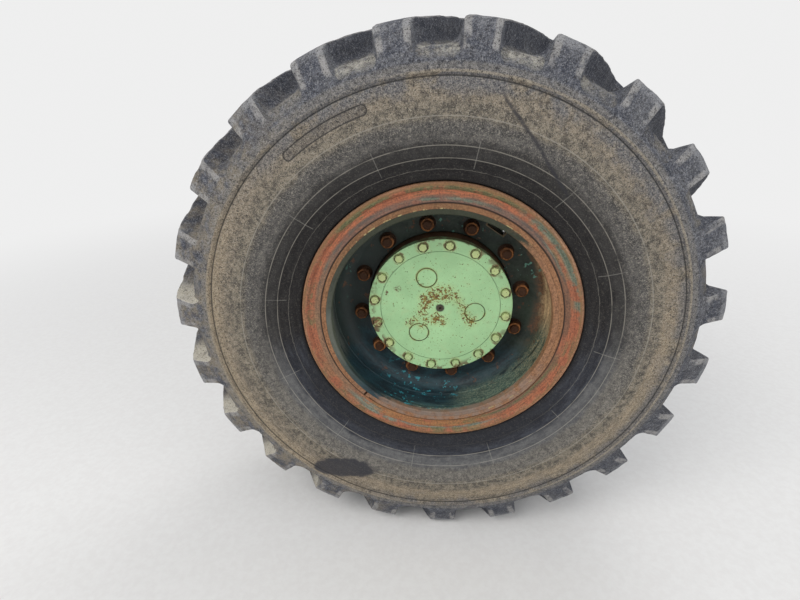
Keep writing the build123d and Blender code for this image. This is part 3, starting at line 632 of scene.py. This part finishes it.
def cover_material():
    """Pale green paint, worn thin round the bolts, with rust specks round the middle plug."""
    s = Shader("cover_paint")
    broad = s.noise(9, 4, 0.6)
    blot = s.noise(35, 4, 0.6)
    fine = s.noise(420, 4, 0.7)
    s.colour = s.mix(s.step(broad, 0.3, 0.7), (0.29, 0.49, 0.245), (0.362, 0.602, 0.308))
    s.paint((0.27, 0.46, 0.24), 0.3, s.patchy(0.5, 0.62, 260, 4, 0.75))
    s.paint((0.36, 0.495, 0.25), 0.5, s.step(blot, 0.52, 0.72))
    bolt = s.repeated(*COVER_BOLTS)
    s.paint((0.4, 0.48, 0.205), 0.5, s.step(s.plus(bolt, s.times(blot, 0.012)), 0.027, 0.019))
    tops = s.step(bolt, 0.0118, 0.0096)
    tops = s.both(tops, s.inverse(s.strength(s.arc(236, 330, 12), 0.8)))
    s.paint((0.5, 0.54, 0.22), 0.6, tops)
    cloud = speck_zone(s)
    specks = s.patchy(0.46, 0.52, 215, 3, 0.65)
    rust_specks = s.step(s.plus(s.times(cloud, 0.25), s.noise(205, 3, 0.65)), 0.648, 0.698)
    rust = s.mix(s.patchy(0.44, 0.56, 110, 3), (0.2, 0.13, 0.022), (0.11, 0.04, 0.012))
    s.paint((0.4, 0.42, 0.14), 0.62, cloud, s.step(s.noise(120, 3, 0.6), 0.36, 0.56, 0.35, 1.0))
    s.paint(rust, 0.95, rust_specks)
    stray = s.both(s.step(s.cells(62), 0.1, 0.06), s.patchy(0.5, 0.58, 11))
    marks = s.either(stray, s.near(-0.136, 0.042, 0.0035, 0.0012), s.near(-0.138, 0.036, 0.0025, 0.0012),
                     s.both(s.near(-0.108, 0.052, 0.008, 0.003), specks),
                     s.near(0.002, -0.128, 0.0018, 0.001))
    s.paint((0.11, 0.05, 0.022), 0.9, marks)
    edge_chips = s.both(s.step(s.radius, 0.163, 0.178), s.patchy(0.52, 0.57, 48),
                        s.either(s.arc(184, 225), s.strength(s.arc(250, 330), 0.9),
                                 s.strength(s.patchy(0.46, 0.56, 6), 0.7)))
    s.paint((0.1, 0.045, 0.02), 0.9, edge_chips)
    s.paint((0.12, 0.06, 0.02), 0.8, s.band(bolt, 0.0105, 0.0165, 0.0012), s.patchy(0.52, 0.57, 52, 3))
    foot = s.band(bolt, 0.0112, 0.0134, 0.0007)
    upper = s.patchy(0.4, 0.55, 45, 3)
    s.paint((0.1, 0.085, 0.02), 0.85, foot, s.either(upper, s.arc(170, 232)))
    s.paint((0.14, 0.05, 0.02), 0.85, s.step(bolt, 0.02, 0.012), s.arc(188, 214, 4), s.patchy(0.4, 0.55, 90))
    s.paint((0.17, 0.24, 0.14), 0.55, s.band(s.radius, 0.152, 0.154, 0.0004))
    middle = s.step(s.radius, 0.0125, 0.0095)
    s.paint((0.03, 0.028, 0.022), 0.9, middle)
    plug = s.repeated(*PLANET_PLUGS)
    s.paint((0.26, 0.25, 0.06), 0.7, s.band(plug, 0.0225, 0.0285, 0.0018), s.patchy(0.42, 0.58, 55))
    s.paint((0.06, 0.055, 0.015), 0.9, s.band(plug, 0.0243, 0.0267, 0.0007), s.patchy(0.2, 0.45, 28))
    s.paint((0.15, 0.1, 0.05), 0.8, s.step(s.out, 0.1205, 0.1185), s.step(blot, 0.42, 0.6))
    rough = s.step(fine, 0.2, 0.8, 0.42, 0.6)
    rough = s.plus(rough, s.strength(rust_specks, 0.35))
    return s.finish(rough, (fine, 0.00015), (broad, 0.001), (rust_specks, 0.0004))


def plain_material(name, dark, light, scale, low_rough, high_rough, metal=0.0, dust=None, bump=0.0006):
    """Two shades of one finish with noise, and dust on top where it is given."""
    s = Shader(name)
    fine = s.noise(scale, 5, 0.68)
    blot = s.noise(scale / 8, 4, 0.6)
    s.colour = s.mix(s.step(fine, 0.3, 0.7), dark, light)
    if dust:
        normal_up = s.add("ShaderNodeNewGeometry").outputs["Normal"]
        upward = s.add("ShaderNodeSeparateXYZ", {0: normal_up}).outputs[2]
        settled = s.both(s.step(upward, -0.2, 0.8, 0.35, 1.0), s.step(blot, 0.35, 0.62))
        s.paint(dust, 0.7, settled)
    return s.finish(s.step(fine, 0.2, 0.8, low_rough, high_rough), (fine, bump), (blot, bump), metal=metal)


# Meshes

def mesh_object(name, vertices, faces, material, body, attributes):
    mesh = bpy.data.meshes.new(name)
    mesh.from_pydata(vertices, [], faces)
    for key, values in attributes.items():
        mesh.attributes.new(key, "FLOAT", "POINT").data.foreach_set("value", values)
    mesh.shade_smooth()
    mesh.materials.append(material)
    mesh.validate()
    piece = bpy.data.objects.new(name, mesh)
    bpy.context.scene.collection.objects.link(piece)
    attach(piece, body)
    return piece


def ripple(points, length, seed, waves=9):
    """Smooth noise between about -1 and 1 at each point, with bumps about this long."""
    source = random.Random(seed)
    total = np.zeros(len(points))
    for k in range(waves):
        way = np.array([source.gauss(0, 1) for axis in range(3)])
        way *= source.uniform(0.7, 1.6) * TURN / length / np.linalg.norm(way)
        total += np.sin(points @ way + source.uniform(0, TURN))
    return total / math.sqrt(waves / 2) / 2


# Tyre. Lengths here are millimetres until the mesh is made.

LUGS = 23
FIRST_LUG = 5.6             # degrees, a lug's middle at the shoulder
LEAN = 32.0                 # degrees from the axle line, over the tread
CROWN = tyre_radius / MM - 1.6
SHOULDER_OUT = 217.0
SHOULDER_DROP = 10.5
TIP_OUT = SHOULDER_OUT + 3.5
TIP_CORNER = (12.0, 9.0)    # of a lug: its reach in over the tread, and down
MIDDLE_OUT = 24.0           # nearer to the tread's middle, a groove's floor rises to the lugs' faces
RIDGE_RADIUS = 556.0
RIDGE_OUT = 246.0
RIDGE_TOP = RIDGE_RADIUS + 3
FOOT_RADIUS = 571.0         # lowest point of a groove on the buttress
FOOT_OUT = RIDGE_OUT - 1.5
FOOT_CORNER = 34.0
BUTTRESS_SLOPE = 0.26       # inwards for each millimetre up from there
GROOVE_HALF = 50.0          # half its width round the tyre, at the lugs' tips
FLOOR_SHIFT = 64.7          # half the way that a groove moves round the tyre over the tread
FLOOR_LEVEL = 596.5         # its floor's height at the shoulder
FLOOR_RISE = 16.0           # its floor is that much higher at the tread's middle
CORNER_SHARE = 0.53         # of the way from its foot, where it turns in over the tread
WIDEST = (480.0, tyre_half / MM - 1.8)      # the sidewall's widest place: radius, out
MOULDED_LINES = {473.5: 1.3, 417.2: 1.0, 391.0: 0.9, 367.2: 0.8}    # the sidewall's rings: radius, height
BEAD_SEAT = 304.8
EDGE_COLUMNS = range(9, 14)     # of section_columns: along a lug's edge
FLOOR_COLUMNS = range(5)        # and on a groove's floor
PANEL_DEPTH = 2.2
PANEL_EDGE = 2.5                # width of the slope round the sunk panel
# Wear in waves: how deep and how long. The first three are on the lugs, the last on the sidewall.
TREAD_WEAR, FINE_WEAR, FLANK_WEAR, SIDE_WEAR = (0.8, 60.0), (0.5, 19.0), (0.5, 33.0), (0.35, 85.0)
# Bites out of the lugs' edges on each side: their number, and the limits of their place, reach and depth
BITES = 70
BITE_OUT, BITE_REACH, BITE_DEPTH = (120, SHOULDER_OUT + 6), (10, 20), (2.0, 4.5)


def unit(value):
    """The value kept between 0 and 1."""
    return min(max(value, 0.0), 1.0)


def smooth(value):
    """Eases a rise from 0 to 1 at both its ends."""
    value = unit(value)
    return value * value * (3 - 2 * value)


def quarter(steps, first=0):
    """Along a quarter circle of radius 1: how far aside and how far ahead of its start."""
    turns = [math.pi / 2 * k / steps for k in range(first, steps + 1)]
    return [(1 - math.cos(turn), math.sin(turn)) for turn in turns]


def crown_radius(out):
    return CROWN - SHOULDER_DROP * (out / SHOULDER_OUT) ** 2


def lug_rows():
    """Rows from the ridge to the tread's middle: out, radius, groove half width."""
    rows = []
    for k in range(4):
        t = k / 4
        rows.append((RIDGE_OUT + (FOOT_OUT - RIDGE_OUT) * t, RIDGE_TOP + (FOOT_RADIUS - RIDGE_TOP) * t, 0.0))
    for aside, ahead in quarter(8):
        radius = FOOT_RADIUS + FOOT_CORNER * aside
        rows.append((FOOT_OUT - BUTTRESS_SLOPE * (radius - FOOT_RADIUS), radius,
                     GROOVE_HALF - FOOT_CORNER * (1 - ahead)))
    side_out, side_radius, half_width = rows[-1]
    corner_in, corner_down = TIP_CORNER
    tip_radius = crown_radius(SHOULDER_OUT) - corner_down
    for k in range(1, 9):
        t = k / 8
        rows.append((side_out + (TIP_OUT - side_out) * t, side_radius + (tip_radius - side_radius) * t,
                     half_width + 2.0 * t))
    for aside, ahead in quarter(4, 1):
        rows.append((TIP_OUT - corner_in * aside, tip_radius + corner_down * ahead, GROOVE_HALF + 2.0))
    first_out = rows[-1][0]
    for k in range(1, 27):
        out = first_out * (1 - k / 27) + MIDDLE_OUT * k / 27
        rows.append((out, crown_radius(out), GROOVE_HALF + 1.0))
    for out in (MIDDLE_OUT, 20.0, 16.5, 13.5, 10.0, 5.0, 0.0):
        rows.append((out, crown_radius(out), GROOVE_HALF - 2.0))
    return rows


def tread_floor(out):
    """Radius of a groove's floor over the tread: straight, so a little lower between its ends."""
    share = unit((SHOULDER_OUT - out) / (SHOULDER_OUT - 10.0))
    sideways = FLOOR_SHIFT * (1 - 2 * share)
    return math.hypot(sideways, FLOOR_LEVEL + FLOOR_RISE * share)


def floor_place(out, radius):
    """Where the groove's floor lies under a place on the lugs' envelope."""
    if radius <= FOOT_RADIUS:
        return out, radius
    inner_out = SHOULDER_OUT - 8
    if out < inner_out:
        share = out / inner_out
        rise = smooth((MIDDLE_OUT - out) / 12.0)
        floor_out = out * (1 - 0.13 * share * share)
        floor_radius = tread_floor(floor_out)
        return floor_out, floor_radius + (radius - floor_radius) * rise
    share = unit((radius - FOOT_RADIUS) / (crown_radius(inner_out) - FOOT_RADIUS))
    start = Vector((FOOT_OUT, FOOT_RADIUS))
    corner = Vector((SHOULDER_OUT, tread_floor(SHOULDER_OUT) - 1.5))
    end = Vector((inner_out * 0.87, tread_floor(inner_out * 0.87)))
    down = start.lerp(corner, share / CORNER_SHARE)
    over = corner.lerp(end, (share - CORNER_SHARE) / (1 - CORNER_SHARE))
    place = down.lerp(over, smooth((share - CORNER_SHARE) / 0.36 + 0.5))
    return place.x, place.y


def section_columns(depth, half_width, half_pitch):
    """Half a groove and half a lug: places round the tyre and heights above the groove's floor."""
    bottom = min(30.0, 0.6 * depth)
    top = min(4.0, 0.4 * depth)
    lean = 0.09 * depth
    wall_foot = half_width - lean - top * 0.4
    places = [(wall_foot - bottom) * share for share in (0.0, 0.35, 0.7)]
    heights = [0.0, 0.0, 0.0]
    for aside, ahead in quarter(4):
        places.append(wall_foot - bottom + bottom * ahead)
        heights.append(bottom * aside)
    for aside, ahead in quarter(4):
        places.append(half_width - top * 0.4 + top * aside)
        heights.append(depth - top + top * ahead)
    edge_place = places[-1]
    for share in (0.25, 0.6, 1.0):
        places.append(edge_place + (half_pitch - edge_place) * share)
        heights.append(depth)
    return places, heights


def lean_shift(out):
    """How far round the tyre a groove has moved by this place, clockwise seen from outside."""
    reach = max(SHOULDER_OUT + 4 - out, 0.0)
    return math.tan(math.radians(LEAN)) * (reach - 8 * (1 - math.exp(-reach / 8)))


def sidewall_rows():
    """Rows from the ridge down to the bead: out, radius."""
    widest_radius, widest_out = WIDEST
    flange_mm = flange_radius / MM
    lip_out = flange_out / MM - 3.0
    ridge = ((2.6, 554.5), (2.9, 552.0), (1.9, 549.0), (-1.2, 546.5), (-2.3, 544.0), (-1.2, 541.5))
    rows = [(RIDGE_OUT + out, radius) for out, radius in ridge]
    height = RIDGE_RADIUS - widest_radius
    upper_radius = (height ** 2 / (widest_out - RIDGE_OUT + 1) + widest_out - RIDGE_OUT) / 2
    radius = 539.0
    places = []
    while radius > flange_mm + 9:
        places.append(radius)
        radius -= 3.6
    for line in MOULDED_LINES:
        places = [place for place in places if abs(place - line) > 2.6]
        places += [line - 2.2, line, line + 2.2]
    drop = widest_radius - flange_mm - 6
    depth = widest_out - lip_out
    lower_radius = (drop * drop + depth * depth) / (2 * depth)
    for radius in sorted(places, reverse=True):
        if radius > widest_radius:
            out = widest_out - (radius - widest_radius) ** 2 / (2 * upper_radius)
        else:
            out = widest_out - lower_radius + math.sqrt(lower_radius ** 2 - (widest_radius - radius) ** 2)
        rows.append((out + MOULDED_LINES.get(radius, 0.0), radius))
    rows += [(lip_out, flange_mm + 5.5), (lip_out - 4, flange_mm + 2.6), (rim_half() + 2, flange_mm + 1.6),
             (rim_half(), flange_mm - 2)]
    return rows


def rim_half():
    return flange_out / MM - 18.0


def liner_rows():
    """Rows over the closed inside, from the bead back to the tread's middle: out, radius."""
    half = rim_half()
    return [(half, BEAD_SEAT + 4), (half - 4, BEAD_SEAT), (half - 40, BEAD_SEAT), (half - 26, BEAD_SEAT + 22),
            (204.0, 400.0), (224.0, 480.0), (212.0, 552.0), (60.0, 592.0), (0.0, 594.0)]


def tread_rows(pitch, base_angle):
    """Rows from the tread's middle to the ridge: angles over one pitch, outs, radii, the groove's depth."""
    rows = []
    for out, radius, half_width in reversed(lug_rows()):
        floor_out, floor_radius = floor_place(out, radius)
        depth = math.hypot(out - floor_out, radius - floor_radius)
        places, heights = section_columns(depth, max(half_width, 16.0), pitch * radius / 2)
        half_count = len(places)
        share = [height / depth if depth > 0.01 else 1.0 for height in heights]
        places = np.array(places + [-place for place in places[-2:0:-1]])
        share = np.array(share + share[-2:0:-1])
        angles = (places - lean_shift(out)) / radius + base_angle
        angles[half_count:] += pitch
        rows.append((angles, floor_out + share * (out - floor_out),
                     floor_radius + share * (radius - floor_radius), depth))
    return rows


def tyre_rows(pitch, base_angle):
    """All rows of one side of the tyre, and how many of them are the tread's."""
    rows = tread_rows(pitch, base_angle)
    tread_count = len(rows)
    ridge_angles = rows[-1][0]
    columns = len(ridge_angles)
    even = ridge_angles[0] + pitch * (np.arange(columns) / columns)
    for out, radius in sidewall_rows():
        blend = unit((RIDGE_RADIUS - radius) / 40.0)
        angles = ridge_angles * (1 - blend) + even * blend
        rows.append((angles, np.full(columns, out), np.full(columns, radius), 0.0))
    last = rows[-1][0]
    for out, radius in liner_rows():
        rows.append((last, np.full(columns, out), np.full(columns, radius), 0.0))
    return rows, tread_count


def tyre_half_mesh(name, sign, pitch_offset, material, seed):
    """One side of the tyre as a closed mesh. Sign is 1 for the side that shows."""
    pitch = TURN / LUGS
    rows, tread_count = tyre_rows(pitch, math.radians(FIRST_LUG) + pitch * (0.5 + pitch_offset))
    columns = len(rows[0][0])
    edge_tag = np.zeros(columns)
    floor_tag = np.zeros(columns)
    for tag, tagged in ((edge_tag, EDGE_COLUMNS), (floor_tag, FLOOR_COLUMNS)):
        for k in tagged:
            tag[k] = tag[-k] = 1.0

    ring = columns * LUGS
    total = len(rows)
    points = np.zeros((total, ring, 3))
    edge = np.zeros((total, ring))
    groove = np.zeros((total, ring))
    for index, (angles, outs, radii, depth) in enumerate(rows):
        for lug in range(LUGS):
            turn = angles + pitch * lug
            part = slice(lug * columns, (lug + 1) * columns)
            points[index, part] = np.column_stack((radii * np.cos(turn), -sign * outs, radii * np.sin(turn)))
            if index < tread_count:
                strength = min(depth / 14.0, 1.0)
                edge[index, part] = edge_tag * strength
                groove[index, part] = floor_tag * strength
    flat = points.reshape(-1, 3)
    carve(flat[: (total - len(liner_rows())) * ring], seed)
    vertices = flat * MM
    vertices[:, 1] += middle_y
    attributes = {"edge": edge.ravel(), "groove": groove.ravel()}
    return mesh_object(name, vertices.tolist(), quads(total, ring, sign), material, "wheel",
                       attributes)


def quads(rows, ring, sign):
    """Faces between each row and the next one. The last row joins the first."""
    faces = []
    for index in range(rows):
        following = (index + 1) % rows
        for k in range(ring):
            across = (k + 1) % ring
            quad = (index * ring + k, index * ring + across, following * ring + across, following * ring + k)
            faces.append(quad if sign > 0 else quad[::-1])
    return faces


def ramp(distance, length):
    """Rises from 0 to 1 over this length."""
    return np.clip(distance / length, 0.0, 1.0)


def carve(points, seed):
    """Wear: uneven lug faces, a slightly wavy sidewall, and small bites out of the lugs' edges."""
    radius = np.hypot(points[:, 0], points[:, 2])
    lugs = ramp(radius - FOOT_RADIUS, 30.0)
    side = ramp(RIDGE_RADIUS - radius, 20.0) * ramp(radius - 350.0, 20.0)

    def wear(mask, waves, offset):
        depth, length = waves
        return depth * mask * (1 + ripple(points, length, seed + offset))

    away = wear(lugs, TREAD_WEAR, 0) + wear(lugs, FINE_WEAR, 1)
    points[:, ::2] *= ((radius - away) / radius)[:, None]
    inward = wear(side, SIDE_WEAR, 2) + wear(lugs, FLANK_WEAR, 3)
    points[:, 1] -= np.sign(points[:, 1]) * inward
    recess_cartouche(points)
    source = random.Random(seed + 4)
    for bite in range(BITES):
        lug_angle = source.uniform(0, TURN)
        out = source.uniform(*BITE_OUT)
        centre = np.array([crown_radius(out) * math.cos(lug_angle),
                           math.copysign(out, points[0, 1] + points[-1, 1]),
                           crown_radius(out) * math.sin(lug_angle)])
        reach = source.uniform(*BITE_REACH)
        distance = np.linalg.norm(points - centre, axis=1)
        pull = np.clip(1 - (distance / reach) ** 2, 0.0, 1.0) ** 2 * source.uniform(*BITE_DEPTH)
        points[:, ::2] *= (1 - pull / np.maximum(np.hypot(points[:, 0], points[:, 2]), 1.0))[:, None]


def recess_cartouche(points):
    """A blank sunk panel with round ends on the outer sidewall."""
    angle, half_angle, radius, half_height = CARTOUCHE
    turn = np.degrees(np.arctan2(points[:, 2], points[:, 0]))
    along = np.abs(turn - angle) * math.pi / 180 * radius
    across = np.abs(np.hypot(points[:, 0], points[:, 2]) - radius)
    straight = half_angle * math.pi / 180 * radius - half_height
    distance = np.hypot(np.maximum(along - straight, 0.0), across)
    depth = np.clip((half_height - distance) / PANEL_EDGE + 0.5, 0.0, 1.0) * PANEL_DEPTH
    points[:, 1] += np.where(points[:, 1] < 0, depth, 0.0)


def make_tyre():
    rubber = tyre_material()
    outer = tyre_half_mesh("tyre_outer_half", 1, 0.0, rubber, 11)
    inner = tyre_half_mesh("tyre_inner_half", -1, 0.5, rubber, 29)
    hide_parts("tyre")
    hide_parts("tyre")


# CAD nodes that keep their shape and get their finish

def dress_nodes():
    cover = cover_material()
    nuts = nut_material()
    casting = plain_material("axle_iron", (0.02, 0.03, 0.03), (0.06, 0.075, 0.07), 60.0, 0.5, 0.85,
                             dust=(0.23, 0.2, 0.16))
    steel = plain_material("bare_steel", (0.3, 0.29, 0.28), (0.48, 0.47, 0.45), 140.0, 0.25, 0.5, metal=1.0)
    bolts = plain_material("bolt_rust", (0.06, 0.03, 0.018), (0.21, 0.1, 0.05), 200.0, 0.65, 0.9)
    dark_bolts = plain_material("plug_rust", (0.012, 0.009, 0.007), (0.07, 0.05, 0.03), 240.0, 0.6, 0.9)
    brass = plain_material("valve_brass", (0.28, 0.24, 0.17), (0.5, 0.44, 0.32), 260.0, 0.4, 0.7, metal=0.3)
    cap = plain_material("cap_plastic", (0.025, 0.025, 0.026), (0.06, 0.058, 0.055), 300.0, 0.5, 0.8)
    seal = plain_material("seal_rubber", (0.012, 0.012, 0.013), (0.035, 0.033, 0.03), 200.0, 0.3, 0.6)
    finishes = {
        "rim_base": base_material(), "side_ring": ring_material(), "lock_ring": lock_ring_material(),
        "wheel_disc": disc_material(), "wheel_studs": nuts, "wheel_nuts": nuts, "hub_drum": drum_material(),
        "hub_cover": cover, "cover_bolts": cover, "planet_plugs": cover, "level_plug": dark_bolts,
        "valve_stem": brass, "valve_cap": cap, "spindle": steel, "brake_housing": casting,
        "axle_arm": casting, "arm_bolts": bolts, "oil_seal": seal, "half_shaft": steel,
    }
    for node, material in finishes.items():
        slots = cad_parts[node].data.materials
        slots.clear()
        slots.append(material)


# Floor, light and camera

BACKDROP = (0.86, 0.86, 0.86)
SKY_STRENGTH = 0.55
FLOOR_REACH = 400.0                         # metres to each side, so that no edge shows
PICTURE_WIDTH = 800
FOCAL_PIXELS = 490.6
CAMERA_PLACE = (-0.0205, -1.056, 0.545)     # metres from the middle of the side ring's front
CAMERA_TURN = (24.6, 4.13, -0.87)           # pitch down, yaw and roll in degrees


def make_floor():
    s = Shader("floor")
    fine = s.noise(60)
    s.colour = s.mix(s.step(fine, 0.3, 0.7), (0.74, 0.73, 0.72), (0.77, 0.765, 0.755))
    material = s.finish(0.9, (fine, 0.0004), specular=0.2)
    distance = s.length(s.parts[0], s.out)
    far = s.both(s.step(distance, 1.0, 4.5), s.add("ShaderNodeLightPath").outputs["Is Camera Ray"])
    pale = s.add("ShaderNodeEmission", {0: BACKDROP, 1: 1.0})
    fade = s.add("ShaderNodeMixShader", {0: far, 1: s.surface.outputs[0], 2: pale.outputs[0]})
    s.feed(s.tree.nodes["Material Output"].inputs[0], fade.outputs[0])
    mesh = bpy.data.meshes.new("floor")
    corners = [(x * FLOOR_REACH, y * FLOOR_REACH, floor_z) for x, y in ((-1, -1), (1, -1), (1, 1), (-1, 1))]
    mesh.from_pydata(corners, [], [(0, 1, 2, 3)])
    mesh.materials.append(material)
    plane = bpy.data.objects.new("floor", mesh)
    bpy.context.scene.collection.objects.link(plane)


def make_world():
    """Soft light from all around. The camera, metal and glass see the pale backdrop instead."""
    world = bpy.data.worlds.new("studio")
    world.use_nodes = True
    sky = Nodes(world.node_tree)
    light = sky.tree.nodes["Background"]
    sky.feed(light.inputs[0], (0.95, 0.97, 1.0))
    sky.feed(light.inputs[1], SKY_STRENGTH)
    seen = sky.add("ShaderNodeBackground", {0: BACKDROP})
    rays = sky.add("ShaderNodeLightPath").outputs
    direct = sky.either(rays["Is Camera Ray"], rays["Is Glossy Ray"], rays["Is Transmission Ray"])
    pick = sky.add("ShaderNodeMixShader", {0: direct, 1: light.outputs[0], 2: seen.outputs[0]})
    sky.feed(sky.tree.nodes["World Output"].inputs[0], pick.outputs[0])
    bpy.context.scene.world = world


def make_lamp(name, place, power, size, colour=(1.0, 1.0, 1.0)):
    lamp = bpy.data.lights.new(name, "AREA")
    lamp.energy = power
    lamp.size = size
    lamp.color = colour
    holder = bpy.data.objects.new(name, lamp)
    holder.location = place
    target = Vector((0.0, middle_y, 0.0))
    holder.rotation_euler = (target - Vector(place)).to_track_quat("-Z", "Y").to_euler()
    bpy.context.scene.collection.objects.link(holder)


def make_camera():
    """Above and in front of the wheel, as the photograph was taken."""
    camera = bpy.data.cameras.new("camera")
    camera.sensor_width = 36.0
    camera.lens = FOCAL_PIXELS / PICTURE_WIDTH * camera.sensor_width
    camera.clip_start = 0.01
    holder = bpy.data.objects.new("camera", camera)
    x, y, z = CAMERA_PLACE
    holder.location = (x, middle_y - flange_out + y, z)
    pitch, yaw, roll = [math.radians(angle) for angle in CAMERA_TURN]
    aim = Euler((math.pi / 2 - pitch, 0.0, yaw), "XYZ").to_matrix()
    holder.rotation_euler = (aim @ Euler((0.0, 0.0, roll), "XYZ").to_matrix()).to_euler()
    bpy.context.scene.collection.objects.link(holder)
    bpy.context.scene.camera = holder


make_camera()
make_tyre()
dress_nodes()
make_floor()
make_world()
make_lamp("key", (-2.6, -3.6, 3.6), 165.0, 3.0, (1.0, 0.985, 0.96))
make_lamp("fill", (3.2, -3.0, 1.6), 52.0, 3.0)
make_lamp("back", (1.5, 2.8, 3.0), 62.0, 2.5)
bpy.context.scene.view_settings.view_transform = "Standard"
